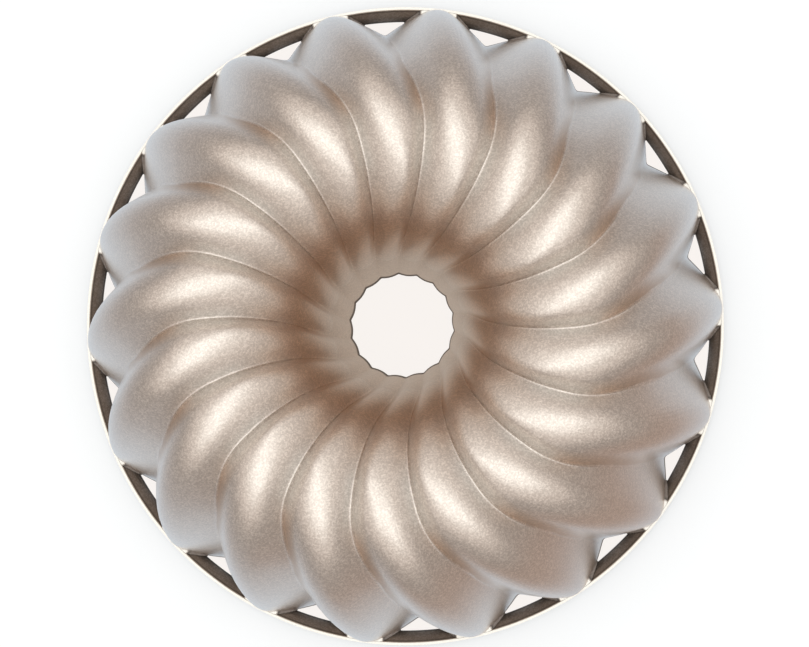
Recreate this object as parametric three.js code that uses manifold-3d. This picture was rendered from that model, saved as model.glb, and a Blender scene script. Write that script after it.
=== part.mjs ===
// Kugelhopf mould: a swirled, fluted ring-cake tin with a central chimney, standing mouth down.
// A flat rim ring goes round the mouth and is carried by one lug under each flute tip.
// Millimetres, +Z up. The origin is on the table plane, on the axis of the chimney.
import * as THREE from 'three';
import { mergeVertices } from 'three/addons/utils/BufferGeometryUtils.js';
import Module from 'manifold-3d';

const wasm = await Module();
wasm.setup();

// Gap between neighbouring pieces.
const CLEARANCE = 0.3;

// Rim ring: a hoop with a flat foot, a narrow flat top and a bevelled inner face.
const RING_OUTER_DIAMETER = 257.5;
const RING_HEIGHT = 5;
const RING_FOOT_WIDTH = 5.4;
const RING_TOP_WIDTH = 1.1;
const RING_WEB_OUTSIDE_LUGS = 0.8;

// Fluted body: the number of flutes, the thickness of the wall, measured under a crest,
// and how far the flute tips stand in from the outside of the ring.
const FLUTE_COUNT = 18;
const WALL = 3.2;
const TIP_INSET = 0.5;

// Crease line between two flutes: up the funnel, over the crown and down the outer wall.
// The pulls and sweeps are the lengths of the handles that bend it.
const CHIMNEY_FOOT_RADIUS = 20.9;
const FUNNEL_LEAN = 9.5;
const FUNNEL_PULL = 55;
const CROWN_RADIUS = 67.5;
const CROWN_HEIGHT = 85.5;
const CROWN_INNER_SWEEP = 27;
const CROWN_OUTER_SWEEP = 25;
const WALL_LEAN = 11;
const WALL_PULL = 45;

// Height of the flutes over the crease line, from the chimney's foot to the mouth.
const FLUTE_RISE_FOOT = 0.8;
const FLUTE_RISE_FUNNEL = 3.6;
const FLUTE_RISE_CROWN = 6;
const FLUTE_RISE_SHOULDER = 10.5;
const FLUTE_RISE_MOUTH = 11.6;

// Share of a flute's width that its round crest takes. The rest is its straight flanks.
const CREST_ROUND_CROWN = 0.7;
const CREST_ROUND_MOUTH = 0.3;

// Lean of the crest to one side of its flute inside the crown, and to the other side outside it,
// and the stations on either side of the crown where it has died away.
const CREST_SKEW = 0.3;
const CREST_SKEW_REACH = 0.5;

// Turn of the creases about the axis, in degrees, from the chimney's foot to the mouth.
const SWIRL_FOOT = 17.1;
const SWIRL_FUNNEL = 2.6;
const SWIRL_CROWN = 1.5;
const SWIRL_SHOULDER = 10.4;
const SWIRL_MOUTH = 16.3;

// Chimney sleeve: its height on the bore side, and the tongue that laps behind the shell.
const CHIMNEY_HEIGHT = 30;
const LAP_LENGTH = 6;

// Rim lugs: how far they reach out from the flanks into the ring and in past the ring's foot,
// and how wide their flat tops are. Their sides slope down from there along the flanks.
const LUG_PROUD = 1.4;
const LUG_SHOULDER = 0.3;
const LUG_TOP_WIDTH = 13;

// Finishes: a champagne coat on the body, a greyer one on the chimney and bronze on the rim.
const METALNESS = 0.85;
const BODY_FINISH = { color: 0xbeac9b, roughness: 0.42, metalness: METALNESS };
const CHIMNEY_FINISH = { color: 0xa5988a, roughness: 0.45, metalness: METALNESS };
const RING_FINISH = { color: 0x8a7a6c, roughness: 0.45, metalness: METALNESS };
const LUG_FINISH = { color: 0x87786e, roughness: 0.45, metalness: METALNESS };

// Fineness of the facets, and how closely a station is found.
const ACROSS_STEPS = [-1, -0.6, -0.3, 0, 0.3, 0.6];
const OUTSIDE_ROWS = 13;
const INSIDE_ROWS = 10;
const CHIMNEY_ROWS = 2;
const RING_STEPS_PER_FLUTE = 6;
const STATION_TOLERANCE = 1e-6;

// Sizes that follow from the ones above.
const ringRadius = RING_OUTER_DIAMETER / 2;
const ringFootRadius = ringRadius - RING_FOOT_WIDTH;
const lugRadius = ringRadius - RING_WEB_OUTSIDE_LUGS - CLEARANCE;
const lugSeatHeight = RING_HEIGHT + CLEARANCE;
const wallDraft = WALL_LEAN / WALL_PULL;
const tipRadius = ringRadius - TIP_INSET + wallDraft * lugSeatHeight;
const mouthRadius = tipRadius - FLUTE_RISE_MOUTH;
const pitch = 2 * Math.PI / FLUTE_COUNT;
const halfPitchAtMouth = mouthRadius * pitch / 2;
const ringSteps = FLUTE_COUNT * RING_STEPS_PER_FLUTE;

// Stations along the body: 0 at the chimney's foot, 1 on the crown and 2 at the mouth.
const CROWN = 1;
const MOUTH = 2;

const funnelLine = new THREE.CubicBezierCurve(
  new THREE.Vector2(CHIMNEY_FOOT_RADIUS, 0),
  new THREE.Vector2(CHIMNEY_FOOT_RADIUS + FUNNEL_LEAN, FUNNEL_PULL),
  new THREE.Vector2(CROWN_RADIUS - CROWN_INNER_SWEEP, CROWN_HEIGHT),
  new THREE.Vector2(CROWN_RADIUS, CROWN_HEIGHT),
);

const wallLine = new THREE.CubicBezierCurve(
  new THREE.Vector2(CROWN_RADIUS, CROWN_HEIGHT),
  new THREE.Vector2(CROWN_RADIUS + CROWN_OUTER_SWEEP, CROWN_HEIGHT),
  new THREE.Vector2(mouthRadius - WALL_LEAN, WALL_PULL),
  new THREE.Vector2(mouthRadius, 0),
);

// A smooth line through values at even stations from the chimney's foot to the mouth.
function lineThrough(values) {
  return new THREE.SplineCurve(values.map((value, index) => new THREE.Vector2(index, value)));
}

const swirlLine = lineThrough([
  SWIRL_FOOT,
  SWIRL_FUNNEL,
  SWIRL_CROWN,
  SWIRL_SHOULDER,
  SWIRL_MOUTH,
]);

const riseLine = lineThrough([
  FLUTE_RISE_FOOT,
  FLUTE_RISE_FUNNEL,
  FLUTE_RISE_CROWN,
  FLUTE_RISE_SHOULDER,
  FLUTE_RISE_MOUTH,
]);

function valueOn(line, station) {
  return line.getPoint(station / MOUTH).y;
}

function creasePoint(station) {
  return station < CROWN ? funnelLine.getPoint(station) : wallLine.getPoint(station - CROWN);
}

// The station on the funnel where the crease line reaches a height.
function funnelStation(height) {
  let low = 0;
  let high = CROWN;
  while (high - low > STATION_TOLERANCE) {
    const middle = (low + high) / 2;
    if (creasePoint(middle).y < height) low = middle;
    else high = middle;
  }
  return low;
}

function crestRound(station) {
  const wallShare = Math.max(station - CROWN, 0);
  return THREE.MathUtils.lerp(CREST_ROUND_CROWN, CREST_ROUND_MOUTH, wallShare);
}

// Place of the crest across its flute, between the creases at -1 and 1.
function crestPlace(station) {
  const lean = THREE.MathUtils.clamp((station - CROWN) / CREST_SKEW_REACH, -1, 1) * Math.PI / 2;
  return 2 * CREST_SKEW * Math.sin(lean) * Math.cos(lean) ** 3;
}

// Height of a flute's section: 0 at the creases and 1 on the crest.
// The flanks are straight and the crest between them is a parabola.
function fluteSection(across, round, crest) {
  const offset = across - crest;
  const side = Math.abs(offset) / (1 - Math.sign(offset) * crest);
  if (side < round) return 1 - side * side / (round * (2 - round));
  return 2 * (1 - side) / (2 - round);
}

// A point of the body. Depth is measured from the outside into the wall.
// The flutes rise inwards at the chimney's foot, upwards on the crown and outwards at the mouth.
function bodyPoint(station, across, depth) {
  const crease = creasePoint(station);
  const section = fluteSection(across, crestRound(station), crestPlace(station));
  const rise = valueOn(riseLine, station) * section - depth;
  const riseTurn = station * Math.PI / 2;
  const radius = crease.x - rise * Math.cos(riseTurn);
  const height = crease.y + rise * Math.sin(riseTurn);
  const swirl = THREE.MathUtils.degToRad(valueOn(swirlLine, station) - SWIRL_MOUTH);
  const angle = across * pitch / 2 + swirl;
  return new THREE.Vector3(radius * Math.cos(angle), radius * Math.sin(angle), height);
}

// A run of [station, depth] points at one depth, ends included.
function stationRun(from, to, depth, rows) {
  return Array.from({ length: rows + 1 }, (_, row) => [
    THREE.MathUtils.lerp(from, to, row / rows),
    depth,
  ]);
}

function indexedGeometry(points, triangles) {
  const geometry = new THREE.BufferGeometry();
  geometry.setFromPoints(points);
  geometry.setIndex(triangles);
  return geometry;
}

// A solid swept once round the axis from a closed loop of [station, depth] points.
function sweptBody(loop) {
  const points = [];
  const triangles = [];
  const columns = FLUTE_COUNT * ACROSS_STEPS.length;
  const upright = new THREE.Vector3(0, 0, 1);
  for (let flute = 0; flute < FLUTE_COUNT; flute += 1) {
    for (const across of ACROSS_STEPS) {
      for (const [station, depth] of loop) {
        points.push(bodyPoint(station, across, depth).applyAxisAngle(upright, flute * pitch));
      }
    }
  }
  for (let column = 0; column < columns; column += 1) {
    const here = column * loop.length;
    const next = (column + 1) % columns * loop.length;
    for (let row = 0; row < loop.length; row += 1) {
      const after = (row + 1) % loop.length;
      triangles.push(here + row, here + after, next + row);
      triangles.push(next + row, here + after, next + after);
    }
  }
  return indexedGeometry(points, triangles);
}

// A block of the body's wall over one flute crest, between two ends and two depths.
// An end is a station and how far the block reaches across the flute on either side there.
function crestBlock(top, bottom, outerDepth, innerDepth) {
  const corners = [
    [top, outerDepth],
    [bottom, outerDepth],
    [bottom, innerDepth],
    [top, innerDepth],
  ];
  const shares = [...ACROSS_STEPS, 1];
  const points = [];
  const triangles = [];
  for (const share of shares) {
    for (const [end, depth] of corners) {
      points.push(bodyPoint(end.station, share * end.halfAcross, depth));
    }
  }
  for (let column = 0; column < shares.length - 1; column += 1) {
    const here = column * corners.length;
    const next = here + corners.length;
    for (let row = 0; row < corners.length; row += 1) {
      const after = (row + 1) % corners.length;
      triangles.push(here + row, here + after, next + row);
      triangles.push(next + row, here + after, next + after);
    }
  }
  const last = points.length - corners.length;
  triangles.push(0, 3, 1, 1, 3, 2);
  triangles.push(last, last + 1, last + 3, last + 1, last + 2, last + 3);
  return indexedGeometry(points, triangles);
}

// A disc on the table, used to trim the lugs and their seats.
function tableDisc(radius, bottom, top) {
  const disc = new THREE.CylinderGeometry(radius, radius, top - bottom, ringSteps);
  return disc.rotateX(Math.PI / 2).rotateZ(Math.PI / 2).translate(0, 0, (bottom + top) / 2);
}

function solidOf(geometry) {
  const bare = geometry.clone();
  bare.deleteAttribute('normal');
  bare.deleteAttribute('uv');
  const merged = mergeVertices(bare);
  return new wasm.Manifold(new wasm.Mesh({
    numProp: 3,
    vertProperties: new Float32Array(merged.attributes.position.array),
    triVerts: new Uint32Array(merged.index.array),
  }));
}

function geometryOf(solid) {
  const mesh = solid.getMesh();
  const geometry = new THREE.BufferGeometry();
  geometry.setAttribute('position', new THREE.BufferAttribute(mesh.vertProperties, 3));
  geometry.setIndex(new THREE.BufferAttribute(mesh.triVerts, 1));
  return geometry;
}

function pieceOf(name, geometry, finish) {
  const piece = new THREE.Mesh(geometry, new THREE.MeshStandardMaterial(finish));
  piece.geometry.computeVertexNormals();
  piece.name = name;
  return piece;
}

// Lugs: a slice of the wall under each flute tip, thickened outwards and trimmed at the nose.
// Their sides slope from the flat top to where the ring's foot would meet the flute's flank.
// The blank that they are cut from goes a little higher than the seat, and as far below the table.
const lugEndRise = (ringFootRadius - LUG_SHOULDER - mouthRadius) / FLUTE_RISE_MOUTH;
const lugFootHalfAcross = 1 - lugEndRise * (2 - CREST_ROUND_MOUTH) / 2;
const lugTopHalfAcross = LUG_TOP_WIDTH / 2 / halfPitchAtMouth;
const lugSideSlope = (lugFootHalfAcross - lugTopHalfAcross) * halfPitchAtMouth / RING_HEIGHT;
const blankHeight = lugSeatHeight + CLEARANCE;

// Drop of a flute tip per station at the mouth, from the wall line's last handle and the rise's turn.
const tipFallPerStation = 3 * WALL_PULL + FLUTE_RISE_MOUTH * Math.PI / 2;

// An end of the blank, at a height over the table, with its sides moved out by a gap.
function blankEnd(height, gap) {
  const sideGap = gap * Math.hypot(1, lugSideSlope) / halfPitchAtMouth;
  const lugHalfAcross = THREE.MathUtils.lerp(
    lugFootHalfAcross,
    lugTopHalfAcross,
    height / RING_HEIGHT,
  );
  return {
    station: MOUTH - height / tipFallPerStation,
    halfAcross: lugHalfAcross + sideGap,
  };
}

const lugBlank = crestBlock(blankEnd(blankHeight, 0), blankEnd(-blankHeight, 0), -LUG_PROUD, WALL);
const lugSolid = solidOf(lugBlank).intersect(solidOf(tableDisc(lugRadius, 0, RING_HEIGHT)));

// Seats: the room that the lugs take out of the shell's foot and out of the ring.
// They reach in past the ring's foot, so that no metal is left inside the flute tips.
const seatDepth = Math.max(WALL, tipRadius - ringFootRadius) + CLEARANCE;
const seatBlank = solidOf(crestBlock(
  blankEnd(blankHeight, CLEARANCE),
  blankEnd(-blankHeight, CLEARANCE),
  -(LUG_PROUD + CLEARANCE),
  seatDepth,
));
const shellSeat = seatBlank.intersect(
  solidOf(tableDisc(tipRadius + CLEARANCE, -CLEARANCE, lugSeatHeight)),
);
const ringSeat = seatBlank.intersect(
  solidOf(tableDisc(lugRadius + CLEARANCE, -CLEARANCE, lugSeatHeight)),
);

function cutSeats(solid, seat) {
  const cutter = geometryOf(seat);
  let cut = solid;
  for (let flute = 0; flute < FLUTE_COUNT; flute += 1) {
    cut = cut.subtract(solidOf(cutter.clone().rotateZ(flute * pitch)));
  }
  return cut;
}

// Lap joint: the shell's tongue lies on the bore side and the chimney's tongue behind it.
const lapLow = funnelStation(CHIMNEY_HEIGHT);
const lapHigh = funnelStation(CHIMNEY_HEIGHT + LAP_LENGTH);
const shellLapLow = funnelStation(CHIMNEY_HEIGHT + CLEARANCE);
const shellLapHigh = funnelStation(CHIMNEY_HEIGHT + LAP_LENGTH + CLEARANCE);
const shellTongue = (WALL - CLEARANCE) / 2;
const chimneyTongue = (WALL + CLEARANCE) / 2;

const chimneyLoop = [
  ...stationRun(0, lapLow, 0, CHIMNEY_ROWS),
  [lapLow, chimneyTongue],
  [lapHigh, chimneyTongue],
  [lapHigh, WALL],
  ...stationRun(lapLow, 0, WALL, CHIMNEY_ROWS),
];

const shellLoop = [
  [shellLapLow, 0],
  ...stationRun(shellLapHigh, MOUTH, 0, OUTSIDE_ROWS),
  ...stationRun(MOUTH, shellLapHigh, WALL, INSIDE_ROWS),
  [shellLapHigh, shellTongue],
  [shellLapLow, shellTongue],
];

const ringSection = [
  new THREE.Vector2(ringFootRadius, 0),
  new THREE.Vector2(ringRadius, 0),
  new THREE.Vector2(ringRadius, RING_HEIGHT),
  new THREE.Vector2(ringRadius - RING_TOP_WIDTH, RING_HEIGHT),
  new THREE.Vector2(ringFootRadius, 0),
];
const ringHoop = new THREE.LatheGeometry(ringSection, ringSteps).rotateX(Math.PI / 2);

const shellSolid = cutSeats(solidOf(sweptBody(shellLoop)), shellSeat);
const ringSolid = cutSeats(solidOf(ringHoop), ringSeat);

const mould = new THREE.Group();
mould.name = 'kugelhopf_mould';

mould.add(pieceOf('fluted_shell', geometryOf(shellSolid), BODY_FINISH));
mould.add(pieceOf('chimney', sweptBody(chimneyLoop), CHIMNEY_FINISH));
mould.add(pieceOf('rim_ring', geometryOf(ringSolid), RING_FINISH));

for (let flute = 0; flute < FLUTE_COUNT; flute += 1) {
  const number = String(flute + 1).padStart(2, '0');
  const lug = pieceOf(`rim_lug_${number}`, geometryOf(lugSolid), LUG_FINISH);
  lug.rotation.z = flute * pitch;
  mould.add(lug);
}

export default mould;
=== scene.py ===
"""Kugelhopf mould with swirled flutes, standing mouth down on a pale table. Metres, +Z up."""
import math

import bpy
from mathutils import Matrix, Vector


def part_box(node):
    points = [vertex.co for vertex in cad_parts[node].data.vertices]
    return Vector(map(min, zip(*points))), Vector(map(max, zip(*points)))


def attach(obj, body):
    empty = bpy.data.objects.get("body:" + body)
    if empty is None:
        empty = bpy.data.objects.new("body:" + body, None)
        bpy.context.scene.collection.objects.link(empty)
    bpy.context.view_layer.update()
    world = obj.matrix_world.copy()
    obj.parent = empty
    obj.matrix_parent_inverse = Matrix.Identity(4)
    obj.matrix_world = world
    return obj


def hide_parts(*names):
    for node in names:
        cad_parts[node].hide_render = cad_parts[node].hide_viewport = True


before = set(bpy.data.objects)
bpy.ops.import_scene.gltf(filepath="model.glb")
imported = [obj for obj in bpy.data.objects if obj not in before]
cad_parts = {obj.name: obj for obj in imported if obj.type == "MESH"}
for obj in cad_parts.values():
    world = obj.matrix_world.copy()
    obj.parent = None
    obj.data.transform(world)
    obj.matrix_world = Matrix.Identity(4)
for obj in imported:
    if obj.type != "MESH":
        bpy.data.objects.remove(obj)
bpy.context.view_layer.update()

# Fluted shell
# The swirled body is cast aluminium with a wall of 3.2 mm, under a speckled champagne coat.
# Its flutes rise out of the funnel, turn over the crown and run down to the mouth on the table.


class Wire:
    """A node's output. Sums, products and powers written with it become Math nodes."""

    def __init__(self, socket):
        self.socket = socket

    def node(self, kind, settings=None, sockets=None, output=0):
        """Adds a node to this wire's tree: its settings first, then the values or wires of its sockets."""
        tree = self.socket.id_data
        made = tree.nodes.new(kind)
        for name, value in (settings or {}).items():
            if name == "stops":
                set_stops(made.color_ramp, value)
            else:
                setattr(made, name, value)
        for key, value in (sockets or {}).items():
            if isinstance(value, Wire):
                tree.links.new(value.socket, made.inputs[key])
            else:
                made.inputs[key].default_value = value
        return Wire(made.outputs[output]) if len(made.outputs) else None

    def math(self, operation, *values):
        return self.node("ShaderNodeMath", {"operation": operation}, dict(enumerate(values)))

    def ramp(self, start, end):
        """0 up to start, 1 from end on, and a straight rise between them."""
        return self.node("ShaderNodeMapRange", None, {"Value": self, "From Min": start, "From Max": end})

    def __add__(self, other):
        return self.math("ADD", self, other)

    def __radd__(self, other):
        return self.math("ADD", other, self)

    def __sub__(self, other):
        return self.math("SUBTRACT", self, other)

    def __rsub__(self, other):
        return self.math("SUBTRACT", other, self)

    def __mul__(self, other):
        return self.math("MULTIPLY", self, other)

    def __rmul__(self, other):
        return self.math("MULTIPLY", other, self)

    def __truediv__(self, other):
        return self.math("DIVIDE", self, other)

    def __pow__(self, other):
        return self.math("POWER", self, other)

    def __abs__(self):
        return self.math("ABSOLUTE", self)


def set_stops(ramp, stops):
    while len(ramp.elements) < len(stops):
        ramp.elements.new(1)
    for element, (place, colour) in zip(ramp.elements, stops):
        element.position = place
        element.color = colour


def new_tree(name, sizes, result):
    """A geometry tree with a named number input for each size. Returns it and the inputs' wires."""
    tree = bpy.data.node_groups.new(name, "GeometryNodeTree")
    for size, value in sizes.items():
        tree.interface.new_socket(size, in_out="INPUT", socket_type="NodeSocketFloat").default_value = value
    tree.interface.new_socket("Result", in_out="OUTPUT", socket_type=result)
    entry = tree.nodes.new("NodeGroupInput")
    return tree, {socket.name: Wire(socket) for socket in entry.outputs if socket.name}


def end_tree(wire):
    wire.node("NodeGroupOutput", None, {"Result": wire})


# The flutes, and the line of a crease between two of them, from the foot of the chimney to the mouth.
lug_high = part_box("rim_lug_01")[1]
ring_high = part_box("rim_ring")[1]
lug_radius = lug_high.x
lug_height = lug_high.z
flute_count = 18
mouth_rise = 0.0116
wall_lean = 0.011
wall_pull = 0.045
tip_inset = 0.0005
seat_gap = 0.0003
tip_radius = ring_high.x - tip_inset + wall_lean / wall_pull * (lug_height + seat_gap)

body_sizes = {
    "Flutes": flute_count,
    "Chimney foot radius": 0.0209,
    "Funnel lean": 0.0095,
    "Funnel pull": 0.055,
    "Crown radius": 0.0675,
    "Crown height": 0.0855,
    "Crown inner sweep": 0.027,
    "Crown outer sweep": 0.025,
    "Mouth radius": tip_radius - mouth_rise,
    "Wall lean": wall_lean,
    "Wall pull": wall_pull,
    "Foot rise": 0.0008,
    "Funnel rise": 0.0036,
    "Crown rise": 0.0060,
    "Shoulder rise": 0.0105,
    "Mouth rise": mouth_rise,
    "Crown round": 0.7,
    "Mouth round": 0.3,
    "Inner crest skew": 0.55,
    "Outer crest skew": 0.3,
    "Crease fillet": 0.04,
    "Crease groove": 0.0009,
    "Foot swirl": math.radians(17.1),
    "Funnel swirl": math.radians(2.6),
    "Crown swirl": math.radians(1.5),
    "Shoulder swirl": math.radians(10.4),
    "Mouth swirl": math.radians(16.3),
}


def bezier(t, first, second, third, last):
    back = 1 - t
    return back * back * (back * first + 3 * t * second) + t * t * (3 * back * third + t * last)


def flute_height(across, crest_round, crest=0):
    """Height of a flute's section, 1 on the crest and 0 at a crease: a parabola between straight flanks."""
    offset = across - crest
    side = abs(offset) / (1 - offset.math("SIGN", offset) * crest)
    past = side.math("MAXIMUM", side - crest_round, 0)
    return 1 - (side * side - past * past) / (crest_round * (2 - crest_round))


def line_through(station, values):
    """A smooth curve through values that stand half a station apart, from the chimney's foot to the mouth."""
    total = values[0]
    for index in range(len(values) - 1):
        share = (station * 2).ramp(index, index + 1)
        here, there = values[index], values[index + 1]
        before = values[max(index - 1, 0)]
        after = values[min(index + 2, len(values) - 1)]
        leave = (there - before) / 2
        arrive = (after - here) / 2
        cubic = 2 * (here - there) + leave + arrive
        square = 3 * (there - here) - 2 * leave - arrive
        total = total + share * (leave + share * (square + share * cubic))
    return total


# Stations run from 0 at the chimney's foot over 1 on the crown to 2 at the mouth.
# The crest leans one way inside the crown and the other way outside it, within these stations and leans.
# A shallow groove lies beside each crease on the outside, from its lip to its end across a flute.
# Along the body it goes from its start to its stop.
crest_leans_from, crest_leans_to = 0.5, 1.5
inner_lean, outer_lean = -0.4, 0.4
groove_lip, groove_floor, groove_end = -0.98, -0.94, -0.55
groove_curve = 1.5
groove_start, groove_full = 0.2, 0.6
groove_fades, groove_stop = 1.35, 1.55
groove_skin = 0.002


def new_body_rule():
    """The place of a point of the body's wall, from its station, its place across a flute and its depth."""
    places = {"Station": 0, "Across": 0, "Depth": 0}
    tree, at = new_tree("fluted_wall_rule", {**places, **body_sizes}, "NodeSocketVector")
    station, across = at["Station"], at["Across"]
    inner = station.math("MINIMUM", station, 1)
    outer = station.math("MAXIMUM", station - 1, 0)
    crown, height = at["Crown radius"], at["Crown height"]
    foot, mouth = at["Chimney foot radius"], at["Mouth radius"]
    funnel_radius = bezier(inner, foot, foot + at["Funnel lean"], crown - at["Crown inner sweep"], crown)
    wall_radius = bezier(outer, crown, crown + at["Crown outer sweep"], mouth - at["Wall lean"], mouth)
    funnel_height = bezier(inner, 0, at["Funnel pull"], height, height)
    wall_height = bezier(outer, height, height, at["Wall pull"], 0)
    stops = ("Foot", "Funnel", "Crown", "Shoulder", "Mouth")
    rise = line_through(station, [at[f"{place} rise"] for place in stops])
    crest_round = at["Crown round"] + (at["Mouth round"] - at["Crown round"]) * outer
    lean = (station.ramp(crest_leans_from, crest_leans_to) - 0.5) * math.pi
    inner_skew, outer_skew = at["Inner crest skew"], at["Outer crest skew"]
    skew = inner_skew + (outer_skew - inner_skew) * lean.ramp(inner_lean, outer_lean)
    crest = skew * 2 * lean.math("SINE", lean) * lean.math("COSINE", lean) ** 3
    section = flute_height(across, crest_round, crest)
    filleted = (section * section + at["Crease fillet"] * at["Crease fillet"]) ** 0.5
    beside_crease = 1 - across.ramp(groove_floor, groove_end)
    groove = across.ramp(groove_lip, groove_floor) * beside_crease ** groove_curve
    over_crown = station.ramp(groove_start, groove_full) * (1 - station.ramp(groove_fades, groove_stop))
    outside = 1 - at["Depth"].ramp(0, groove_skin)
    proud = rise * filleted - at["Crease groove"] * groove * over_crown * outside - at["Depth"]
    turn = station * (math.pi / 2)
    radius = funnel_radius + wall_radius - crown - proud * turn.math("COSINE", turn)
    level = funnel_height + wall_height - height + proud * turn.math("SINE", turn)
    swirl = line_through(station, [at[f"{place} swirl"] for place in stops])
    angle = across * math.pi / at["Flutes"] + swirl - at["Mouth swirl"]
    sides = {"X": radius * angle.math("COSINE", angle), "Y": radius * angle.math("SINE", angle), "Z": level}
    end_tree(radius.node("ShaderNodeCombineXYZ", None, sides))
    return tree


body_rule = new_body_rule()


def body_point(at, station, across, depth):
    sizes = {name: at[name] for name in body_sizes}
    places = {"Station": station, "Across": across, "Depth": depth}
    return station.node("GeometryNodeGroup", {"node_tree": body_rule}, {**places, **sizes})


def station_at(at, height, across, depth):
    """The station, close to the mouth, where the wall stands at a height over the table."""
    section = flute_height(across, at["Mouth round"])
    fall = 3 * at["Wall pull"] + math.pi / 2 * (at["Mouth rise"] * section - depth)
    return 2 - height / fall


def new_grid(at, rows, columns):
    """A flat grid, and each vertex's row and column."""
    start = at["Flutes"]
    size = {"Size X": rows, "Size Y": columns, "Vertices X": rows + 1, "Vertices Y": columns + 1}
    grid = start.node("GeometryNodeMeshGrid", None, size)
    place = start.node("GeometryNodeInputPosition")
    row = start.node("ShaderNodeSeparateXYZ", None, {"Vector": place}, "X") + rows / 2
    column = start.node("ShaderNodeSeparateXYZ", None, {"Vector": place}, "Y") + columns / 2
    return grid, row, column


def across_of(column, stops):
    """The place across a flute, mirrored about its crest. A stop is a count of columns and where they end."""
    half = sum(count for count, _ in stops)
    step = column - half
    side = abs(step)
    total = 0
    done, reached = 0, 0
    for count, end in stops:
        total = (end - reached) * side.ramp(done, done + count) + total
        done, reached = done + count, end
    return total * step.math("SIGN", step)


def stretches(row, counts):
    """The rows taken in turn as stretches of these counts: how far each stretch is done, from 0 to 1."""
    shares = []
    done = 0
    for count in counts:
        shares.append(row.ramp(done, done + count))
        done += count
    return shares


seam_width = 2e-6
sharp_angle = math.radians(50)


def end_all_flutes(at, grid, place, material):
    """Sets one flute's grid in its place, repeats it round the axis and closes the seams."""
    shaped = grid.node("GeometryNodeSetPosition", None, {"Geometry": grid, "Position": place})
    points = grid.node("GeometryNodePoints", None, {"Count": flute_count})
    index = grid.node("GeometryNodeInputIndex")
    turn = grid.node("ShaderNodeCombineXYZ", None, {"Z": index * (2 * math.pi) / at["Flutes"]})
    turned = grid.node("FunctionNodeEulerToRotation", None, {"Euler": turn})
    copies = {"Points": points, "Instance": shaped, "Rotation": turned}
    flutes = grid.node("GeometryNodeInstanceOnPoints", None, copies)
    whole = grid.node("GeometryNodeRealizeInstances", None, {"Geometry": flutes})
    closed = grid.node("GeometryNodeMergeByDistance", None, {"Geometry": whole, "Distance": seam_width})
    angle = grid.node("GeometryNodeInputMeshEdgeAngle")
    soft_edge = angle.math("LESS_THAN", angle, sharp_angle)
    shading = {"Geometry": closed, "Shade Smooth": soft_edge}
    smooth = grid.node("GeometryNodeSetShadeSmooth", {"domain": "EDGE"}, shading)
    end_tree(grid.node("GeometryNodeSetMaterial", None, {"Geometry": smooth, "Material": material}))


def grown_piece(name, tree, sizes):
    """Runs a geometry tree with these sizes and keeps the result as a plain mesh."""
    piece = bpy.data.objects.new(name, bpy.data.meshes.new(name + "_seed"))
    bpy.context.scene.collection.objects.link(piece)
    grower = piece.modifiers.new("grow", "NODES")
    grower.node_group = tree
    for item in tree.interface.items_tree:
        if item.in_out == "INPUT":
            grower[item.identifier] = float(sizes[item.name])
    seen = piece.evaluated_get(bpy.context.evaluated_depsgraph_get())
    mesh = bpy.data.meshes.new_from_object(seen)
    mesh.name = name
    piece.modifiers.clear()
    piece.data = mesh
    return piece


def new_material(name):
    """An empty node material. Returns it and the wire of the place on the piece, in metres."""
    material = bpy.data.materials.new(name)
    material.use_nodes = True
    nodes = material.node_tree.nodes
    nodes.clear()
    return material, Wire(nodes.new("ShaderNodeTexCoord").outputs["Object"])


def blend(share, first, second):
    """A colour between two colours or colour wires."""
    ends = {key: end if isinstance(end, Wire) else (*end, 1) for key, end in ((6, first), (7, second))}
    return share.node("ShaderNodeMix", {"data_type": "RGBA"}, {0: share, **ends}, 2)


def end_speckled_coat(place, pigment, glitter, metal_and_coat=1.0):
    """A metallic coat with fine flakes. Pigment is the coat's colour, glitter that of its bright flakes."""
    flakes = place.node("ShaderNodeTexVoronoi", None, {"Vector": place, "Scale": 2100.0}, "Color")
    flake = place.node("ShaderNodeSeparateColor", None, {"Color": flakes}, 0)
    grain = place.node("ShaderNodeTexNoise", None, {"Vector": place, "Scale": 1300.0, "Detail": 2.0})
    cloud = place.node("ShaderNodeTexNoise", None, {"Vector": place, "Scale": 60.0, "Detail": 3.0})
    bright = (flake * 0.5 + grain * 0.5).ramp(0.35, 0.85)
    bump = place.node("ShaderNodeBump", None, {"Strength": 0.35, "Distance": 0.00008, "Height": grain})
    look = {
        "Base Color": blend(bright, pigment, glitter),
        "Metallic": 0.92 * metal_and_coat,
        "Roughness": 0.86 - 0.5 * metal_and_coat + 0.08 * flake + 0.06 * cloud,
        "Normal": bump,
        "Coat Weight": metal_and_coat,
        "Coat Roughness": 0.3,
    }
    surface = place.node("ShaderNodeBsdfPrincipled", None, look)
    place.node("ShaderNodeOutputMaterial", None, {"Surface": surface})


def radius_of(place):
    """The distance of a place on a piece from the axis of the mould."""
    level = place.node("ShaderNodeVectorMath", {"operation": "MULTIPLY"}, {0: place, 1: (1, 1, 0)})
    return place.node("ShaderNodeVectorMath", {"operation": "LENGTH"}, {0: level}, "Value")


def height_of(place):
    return place.node("ShaderNodeSeparateXYZ", None, {"Vector": place}, "Z")
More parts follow.
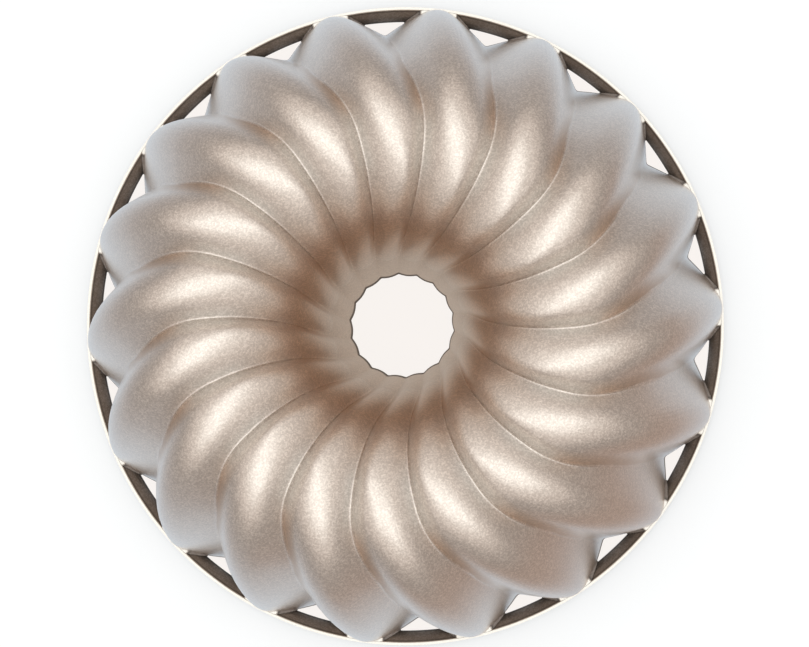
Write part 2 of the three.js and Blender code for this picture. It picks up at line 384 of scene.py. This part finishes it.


# Painted shade: the coat is browner in the throat and past the creases on the shoulder, and duller in them
# over the crown.
# Painted shadow: the edge of the mouth is dark and dull where it meets the table.
champagne_coat, on_shell = new_material("champagne_coat")
from_axis = radius_of(on_shell)
# Painted shade: a browner ring in the throat, where the flutes shade and reflect each other.
throat_shade = from_axis.ramp(0.025, 0.031) * (1 - from_axis.ramp(0.035, 0.041))
on_crown = from_axis.ramp(0.048, 0.058) * (1 - from_axis.ramp(0.072, 0.085))
on_shoulder = from_axis.ramp(0.075, 0.083) * (1 - from_axis.ramp(0.090, 0.097))
across_flute = on_shell.node("ShaderNodeAttribute", {"attribute_name": "across_flute"}, None, "Fac")
off_crest = abs(across_flute)
# Painted shade: a duller, greyer coat in the creases over the crown.
crease_shade = on_crown * off_crest.ramp(0.45, 0.85) * (1 - off_crest.ramp(0.94, 0.98))
# Painted shade: a browner band on one side of each crease over the shoulder.
lee_shade = on_shoulder * (1 - across_flute.ramp(-0.85, -0.55)) * across_flute.ramp(-0.98, -0.92)
# Painted shadow: a dark, dull band with neither metal nor coat along the foot of the wall.
above_edge = height_of(on_shell).ramp(0.0020, 0.0030)
foot_edge_shadow = (0.17, 0.138, 0.115)
champagne, champagne_flakes = (0.552, 0.463, 0.396), (0.79, 0.683, 0.595)
throat_shade_brown, throat_shade_flakes = (0.55, 0.385, 0.275), (0.80, 0.58, 0.43)
crease_shade_grey, crease_shade_flakes = (0.47, 0.415, 0.365), (0.68, 0.612, 0.55)
shoulder_shade_brown, shoulder_shade_flakes = (0.505, 0.37, 0.275), (0.72, 0.545, 0.415)
pigment = blend(throat_shade, champagne, throat_shade_brown)
pigment = blend(crease_shade, pigment, crease_shade_grey)
pigment = blend(lee_shade, pigment, shoulder_shade_brown)
glitter = blend(throat_shade, champagne_flakes, throat_shade_flakes)
glitter = blend(crease_shade, glitter, crease_shade_flakes)
glitter = blend(lee_shade, glitter, shoulder_shade_flakes)
shell_pigment = blend(above_edge, foot_edge_shadow, pigment)
shell_glitter = blend(above_edge, foot_edge_shadow, glitter)
end_speckled_coat(on_shell, shell_pigment, shell_glitter, above_edge)

# The shell stands on a lug under each flute tip and laps over the chimney on the bore side.
# Its section goes down the outside, round the foot, up the inside and back round the tongue of the lap.
wall = 0.0032
edge_round = 0.0004
hairline = 0.00005
chimney_height = 0.030
lap_length = 0.006
lug_proud = 0.0014
lug_shoulder = 0.0003
lug_top_width = 0.013
ring_foot_width = 0.0054
ring_foot_radius = ring_high.x - ring_foot_width
half_pitch = body_sizes["Mouth radius"] * math.pi / flute_count


def funnel_station(height):
    """The station on the funnel where the crease stands at a height."""
    low, high = 0.0, 1.0
    while high - low > 1e-7:
        middle = (low + high) / 2
        back = 1 - middle
        reach = 3 * middle * back * back * body_sizes["Funnel pull"]
        reach += middle * middle * (3 * back + middle) * body_sizes["Crown height"]
        low, high = (middle, high) if reach < height else (low, middle)
    return low


lug_end_rise = (ring_foot_radius - lug_shoulder - body_sizes["Mouth radius"]) / mouth_rise
lug_foot_half = 1 - lug_end_rise * (2 - body_sizes["Mouth round"]) / 2
lug_top_half = lug_top_width / 2 / half_pitch
side_gap = 2 * hairline / half_pitch

shell_sizes = {
    **body_sizes,
    "Wall": wall,
    "Edge round": edge_round,
    "Seat height": lug_height + hairline,
    "Seat foot half": lug_foot_half + side_gap,
    "Seat top half": lug_top_half + side_gap,
    "Tongue": (wall - hairline) / 2,
    "Lap low": funnel_station(chimney_height + hairline),
    "Lap high": funnel_station(chimney_height + lap_length + hairline),
}


def new_shell_tree():
    tree, at = new_tree("fluted_shell_tree", shell_sizes, "NodeSocketGeometry")
    counts = [92, 3, 1, 3, 54, 1, 3, 1]
    stops = [(4, at["Seat top half"]), (4, at["Seat foot half"]), (5, 0.92), (4, 1)]
    grid, row, column = new_grid(at, sum(counts), 2 * sum(count for count, _ in stops))
    across = across_of(column, stops)
    kept = {"Geometry": grid, "Name": "across_flute", "Value": across}
    grid = grid.node("GeometryNodeStoreNamedAttribute", None, kept)
    outside, outer_turn, flat, inner_turn, inside, step, tongue, close = stretches(row, counts)
    outer_turn = outer_turn * (math.pi / 2)
    inner_turn = inner_turn * (math.pi / 2)
    corner = at["Edge round"]
    depth = corner * (1 - row.math("COSINE", outer_turn)) + (at["Wall"] - 2 * corner) * flat
    depth = depth + corner * row.math("SINE", inner_turn)
    depth = depth + (at["Tongue"] - at["Wall"]) * step - at["Tongue"] * close
    seat = abs(across).ramp(at["Seat foot half"], at["Seat top half"])
    foot = station_at(at, seat * at["Seat height"], across, depth)
    edge = corner / (3 * at["Wall pull"])
    station = at["Lap low"] + (foot - edge - at["Lap low"]) * outside
    station = station + edge * (row.math("SINE", outer_turn) - 1 + row.math("COSINE", inner_turn))
    station = station + (at["Lap high"] - foot + edge) * inside + (at["Lap low"] - at["Lap high"]) * tongue
    end_all_flutes(at, grid, body_point(at, station, across, depth), champagne_coat)
    return tree


fluted_shell = grown_piece("fluted_shell_body", new_shell_tree(), shell_sizes)
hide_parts("fluted_shell")
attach(fluted_shell, "root")

# Chimney
# The lower sleeve of the funnel is cast with the same fading flutes and the same coat, painted browner as
# shade.
# It stands on the table, and its top is stepped back so that the shell laps over it.
# Painted shadow: the edge of its foot is dark and dull where it meets the table.
chimney_coat, on_chimney = new_material("chimney_coat")
above_edge = height_of(on_chimney).ramp(0.0028, 0.0042)
# Painted shade: the sleeve's coat is browner and darker than the champagne, for the shade down in the funnel.
sleeve_shade_brown, sleeve_shade_flakes = (0.52, 0.41, 0.33), (0.74, 0.61, 0.51)
sleeve_pigment = blend(above_edge, foot_edge_shadow, sleeve_shade_brown)
sleeve_glitter = blend(above_edge, foot_edge_shadow, sleeve_shade_flakes)
end_speckled_coat(on_chimney, sleeve_pigment, sleeve_glitter, above_edge)

chimney_sizes = {
    **body_sizes,
    "Wall": wall,
    "Edge round": edge_round,
    "Tongue": (wall + hairline) / 2,
    "Lap low": funnel_station(chimney_height),
    "Lap high": funnel_station(chimney_height + lap_length),
}


def new_chimney_tree():
    tree, at = new_tree("chimney_tree", chimney_sizes, "NodeSocketGeometry")
    counts = [28, 1, 4, 1, 28, 3, 1, 3]
    stops = [(6, 0.8), (4, 1)]
    grid, row, column = new_grid(at, sum(counts), 2 * sum(count for count, _ in stops))
    across = across_of(column, stops)
    bore, step, tongue, top, back, outer_turn, flat, bore_turn = stretches(row, counts)
    outer_turn = outer_turn * (math.pi / 2)
    bore_turn = bore_turn * (math.pi / 2)
    corner = at["Edge round"]
    depth = at["Tongue"] * step + (at["Wall"] - at["Tongue"]) * top
    depth = depth - corner * (1 - row.math("COSINE", outer_turn)) - (at["Wall"] - 2 * corner) * flat
    depth = depth - corner * row.math("SINE", bore_turn)
    edge = corner / (3 * at["Funnel pull"])
    station = edge + (at["Lap low"] - edge) * bore + (at["Lap high"] - at["Lap low"]) * tongue
    station = station + (edge - at["Lap high"]) * back
    station = station + edge * (1 - row.math("COSINE", bore_turn) - row.math("SINE", outer_turn))
    end_all_flutes(at, grid, body_point(at, station, across, depth), chimney_coat)
    return tree


chimney = grown_piece("chimney_sleeve", new_chimney_tree(), chimney_sizes)
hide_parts("chimney")
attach(chimney, "root")

# Rim lugs
# A short lug under each flute tip carries the ring. It is cast in the same metal, under a bronze coat painted
# dark as shade.
# Its back is flush with the inside of the wall and its nose ends in a pocket of the ring.
bronze_shade_coat, on_rim = new_material("bronze_shade_coat")
over_table = height_of(on_rim)
on_bevel = 1 - radius_of(on_rim).ramp(ring_high.x - 0.0009, ring_high.x - 0.0004)
# Painted shade: darker lines along the bevel's foot and under its top.
foot_shade_line = 1 - over_table.ramp(0.0004, 0.001)
under_top_shade_line = over_table.ramp(lug_height - 0.0011, lug_height - 0.0006)
edge_shade_lines = on_bevel * (foot_shade_line + under_top_shade_line)
# Painted highlight: the top faces are pale, as if lit from above.
lit_top = over_table.ramp(lug_height - 0.0004, lug_height - 0.0002)
# Painted shade: the ring and lugs are dark bronze, for the shade on the bevel and in the pockets.
bevel_shade_bronze, bevel_shade_flakes = (0.21, 0.172, 0.145), (0.33, 0.285, 0.25)
edge_line_shade_bronze, edge_line_shade_flakes = (0.10, 0.082, 0.07), (0.15, 0.125, 0.105)
top_highlight, top_highlight_flakes = (0.64, 0.58, 0.51), (0.74, 0.68, 0.61)
rim_pigment = blend(lit_top, blend(edge_shade_lines, bevel_shade_bronze, edge_line_shade_bronze), top_highlight)
rim_glitter = blend(lit_top, blend(edge_shade_lines, bevel_shade_flakes, edge_line_shade_flakes), top_highlight_flakes)
end_speckled_coat(on_rim, rim_pigment, rim_glitter)

lug_sizes = {
    **body_sizes,
    "Wall": wall,
    "Proud": lug_proud,
    "Height": lug_height,
    "Nose radius": lug_radius,
    "Foot half": lug_foot_half,
    "Top half": lug_top_half,
    "Edge round": 0.00025,
}


def rounded_loop(row, counts, width, height, corner):
    """A rectangle with round corners: along the width, down the height, and back to the start."""
    shares = stretches(row, counts)
    along, down, back, up = shares[0::2]
    turns = [share * (math.pi / 2) for share in shares[1::2]]
    sines = [row.math("SINE", turn) for turn in turns]
    falls = [1 - row.math("COSINE", turn) for turn in turns]
    wide, high = width - 2 * corner, height - 2 * corner
    out = corner + wide * (along - back) + corner * (sines[0] - falls[1] - sines[2] + falls[3])
    below = high * (down - up) + corner * (falls[0] + sines[1] - falls[2] - sines[3])
    return out, below


def trimmed(place, radius):
    """The place, drawn in towards the axis where it is further out than the radius."""
    x = place.node("ShaderNodeSeparateXYZ", None, {"Vector": place}, "X")
    y = place.node("ShaderNodeSeparateXYZ", None, {"Vector": place}, "Y")
    z = place.node("ShaderNodeSeparateXYZ", None, {"Vector": place}, "Z")
    share = x.math("MINIMUM", radius / (x * x + y * y) ** 0.5, 1)
    return place.node("ShaderNodeCombineXYZ", None, {"X": x * share, "Y": y * share, "Z": z})


def new_lug_tree():
    tree, at = new_tree("rim_lug_tree", lug_sizes, "NodeSocketGeometry")
    counts = [2, 2, 3, 2, 2, 2, 3, 2]
    columns = 14
    grid, row, column = new_grid(at, sum(counts), columns + 2)
    thickness = at["Wall"] + at["Proud"]
    out, below = rounded_loop(row, counts, thickness, at["Height"], at["Edge round"])
    body = column.ramp(0, 1) - column.ramp(columns + 1, columns + 2)
    depth = at["Wall"] - thickness / 2 - (out - thickness / 2) * body
    height = at["Height"] / 2 + (at["Height"] / 2 - below) * body
    half = at["Foot half"] + (at["Top half"] - at["Foot half"]) * height / at["Height"]
    across = half * (2 * column.ramp(1, columns + 1) - 1)
    place = body_point(at, station_at(at, height, across, depth), across, depth)
    end_all_flutes(at, grid, trimmed(place, at["Nose radius"]), bronze_shade_coat)
    return tree


rim_lugs = grown_piece("rim_lugs", new_lug_tree(), lug_sizes)
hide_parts(*[f"rim_lug_{number:02d}" for number in range(1, flute_count + 1)])
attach(rim_lugs, "root")

# Rim ring
# The hoop round the mouth is cast flat, with a bevelled inner face, and lies on the table.
# Each lug's nose sits in a pocket of it. The bevel is painted dark as shade, the top pale as a highlight.
ring_top_width = 0.0011
pocket_corner = 0.001
ring_sizes = {
    **body_sizes,
    "Outer radius": ring_high.x,
    "Foot radius": ring_foot_radius,
    "Top radius": ring_high.x - ring_top_width,
    "Height": ring_high.z,
    "Edge round": 0.0003,
    "Pocket radius": lug_radius + hairline,
    "Pocket proud": lug_proud + hairline,
    "Pocket foot half": lug_foot_half + side_gap,
    "Pocket top half": lug_top_half + side_gap,
}


def new_ring_tree():
    tree, at = new_tree("rim_ring_tree", ring_sizes, "NodeSocketGeometry")
    counts = [2, 3, 3, 3, 2, 3, 4, 3]
    in_pocket, past_pocket = 7, 6
    grid, row, column = new_grid(at, sum(counts), 2 * (in_pocket + 1 + past_pocket))
    span = at["Outer radius"] - at["Foot radius"]
    out, below = rounded_loop(row, counts, span, at["Height"], at["Edge round"])
    height = at["Height"] - below
    half = at["Pocket foot half"] + (at["Pocket top half"] - at["Pocket foot half"]) * height / at["Height"]
    across = across_of(column, [(in_pocket, half), (1, half + pocket_corner), (past_pocket, 1)])
    proud = 0 - at["Pocket proud"]
    flank = body_point(at, station_at(at, height, across, proud), across, proud)
    x = flank.node("ShaderNodeSeparateXYZ", None, {"Vector": flank}, "X")
    y = flank.node("ShaderNodeSeparateXYZ", None, {"Vector": flank}, "Y")
    flank_radius = (x * x + y * y) ** 0.5
    bevel = at["Foot radius"] + (at["Top radius"] - at["Foot radius"]) * height / at["Height"]
    middle = in_pocket + 1 + past_pocket
    pocket = row.math("LESS_THAN", abs(column - middle), in_pocket + 0.5)
    nose = row.math("MINIMUM", flank_radius, at["Pocket radius"])
    inner = row.math("MAXIMUM", bevel, nose * pocket)
    radius = inner + (at["Outer radius"] - inner) * out / span
    share = radius / flank_radius
    place = row.node("ShaderNodeCombineXYZ", None, {"X": x * share, "Y": y * share, "Z": height})
    end_all_flutes(at, grid, place, bronze_shade_coat)
    return tree


rim_ring = grown_piece("rim_ring_hoop", new_ring_tree(), ring_sizes)
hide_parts("rim_ring")
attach(rim_ring, "root")

# Table, light and camera
# The mould stands on a pale table under one broad soft light, and is seen from nearly straight above.
# The table is white, and cream under the mould as painted shade. In the metal's reflections it darkens with
# the distance.
roll = math.radians(3.44)
photo_right = Vector((math.cos(roll), -math.sin(roll), 0))
photo_up = Vector((math.sin(roll), math.cos(roll), 0))

table = bpy.data.objects.new("table", bpy.data.meshes.new("table"))
bpy.context.scene.collection.objects.link(table)
table_half = 0.4
table_top = -0.00005
corners = [(-1, -1), (1, -1), (1, 1), (-1, 1)]
table.data.from_pydata(
    [(x * table_half, y * table_half, table_top) for x, y in corners],
    [],
    [(0, 1, 2, 3)],
)

paper, on_table = new_material("pale_table")
paper.cycles.emission_sampling = "NONE"
seen = on_table.node("ShaderNodeLightPath", None, None, "Is Camera Ray")
mirrored = on_table.node("ShaderNodeLightPath", None, None, "Is Glossy Ray")
from_axis = on_table.node("ShaderNodeVectorMath", {"operation": "LENGTH"}, {0: on_table}, "Value")
under_mould = 1 - from_axis.ramp(0.1284, 0.1288)
# Painted shade: where the camera sees it, the table is cream under the mould.
white, cream_shade = (1.0, 1.0, 1.0), (0.955, 0.91, 0.875)
# Seen only in reflections: a warm, dim glow near the axis as painted shade, a cool one further out, and grey
# far off, browner on one side, as a painted reflection of the room.
warm_shade_glow, cold_glow = (0.58, 0.51, 0.44), (0.76, 0.88, 1.0)
grey_room, brown_room = (0.44, 0.44, 0.47), (0.40, 0.27, 0.21)
plain = blend(under_mould, white, cream_shade)
near = blend(from_axis.ramp(0.03, 0.11), warm_shade_glow, cold_glow)
room_side = (0.8 * photo_right - 0.6 * photo_up).normalized()
sides = {0: on_table, 1: room_side}
facing = on_table.node("ShaderNodeVectorMath", {"operation": "DOT_PRODUCT"}, sides, "Value")
far = blend(facing.ramp(0.08, 0.14), grey_room, brown_room)
fall = from_axis.math("MAXIMUM", from_axis.ramp(0.125, 0.24), facing.ramp(0.11, 0.17))
matt = seen.node("ShaderNodeBsdfDiffuse", None, {"Color": (0.85, 0.85, 0.85, 1)})
shade = blend(seen, blend(fall, near, far), plain)
glow = seen.node("ShaderNodeEmission", None, {"Color": shade, "Strength": 1.0})
own_light = seen * (0.36 + 0.60 * under_mould) + mirrored * 0.87
mixed = seen.node("ShaderNodeMixShader", None, {0: own_light, 1: matt, 2: glow})
seen.node("ShaderNodeOutputMaterial", None, {"Surface": mixed})
table.data.materials.append(paper)

camera = bpy.data.objects.new("camera", bpy.data.cameras.new("camera"))
bpy.context.scene.collection.objects.link(camera)
bpy.context.scene.camera = camera
camera_height = 0.700
camera.location = 0.044 * photo_right - 0.0086 * photo_up + Vector((0, 0, camera_height))
aim = 0.0008 * photo_right + 0.00085 * photo_up
view_line = (camera.location - aim).normalized()
view_right = photo_up.cross(view_line).normalized()
view_up = view_line.cross(view_right)
view_turn = Matrix((view_right, view_up, view_line)).transposed().to_4x4()
camera.matrix_world = Matrix.Translation(camera.location) @ view_turn
camera.data.sensor_width = 36.0
camera.data.lens = 76.84

softbox = bpy.data.objects.new("softbox", bpy.data.lights.new("softbox", "AREA"))
bpy.context.scene.collection.objects.link(softbox)
softbox.data.shape = "DISK"
softbox.data.size = 1.7
softbox.data.energy = 7.0
softbox.data.color = (0.90, 1.0, 1.06)
softbox_height = 1.1
softbox.location = Vector((0, 0, softbox_height)) - 0.07 * photo_right + 0.03 * photo_up

world = bpy.data.worlds.new("studio")
bpy.context.scene.world = world
world.use_nodes = True
world.node_tree.nodes.clear()
way = Wire(world.node_tree.nodes.new("ShaderNodeTexCoord").outputs["Generated"])
dome_axis = (Vector((0, 0, 1)) + 0.05 * photo_up).normalized()
dome = way.node("ShaderNodeVectorMath", {"operation": "DOT_PRODUCT"}, {0: way, 1: dome_axis}, "Value")
shades = [
    (0.02, (0.35, 0.345, 0.345, 1)),
    (0.17, (0.38, 0.36, 0.34, 1)),
    (0.32, (0.97, 0.905, 0.875, 1)),
    (0.75, (0.98, 0.99, 0.98, 1)),
]
sky = way.node("ShaderNodeValToRGB", {"stops": shades}, {0: dome})
camera_ray = way.node("ShaderNodeLightPath", None, None, "Is Camera Ray")
walls = way.node("ShaderNodeBackground", None, {"Color": blend(camera_ray, sky, white), "Strength": 1.0})
way.node("ShaderNodeOutputWorld", None, {"Surface": walls})
bpy.context.scene.view_settings.view_transform = "Standard"
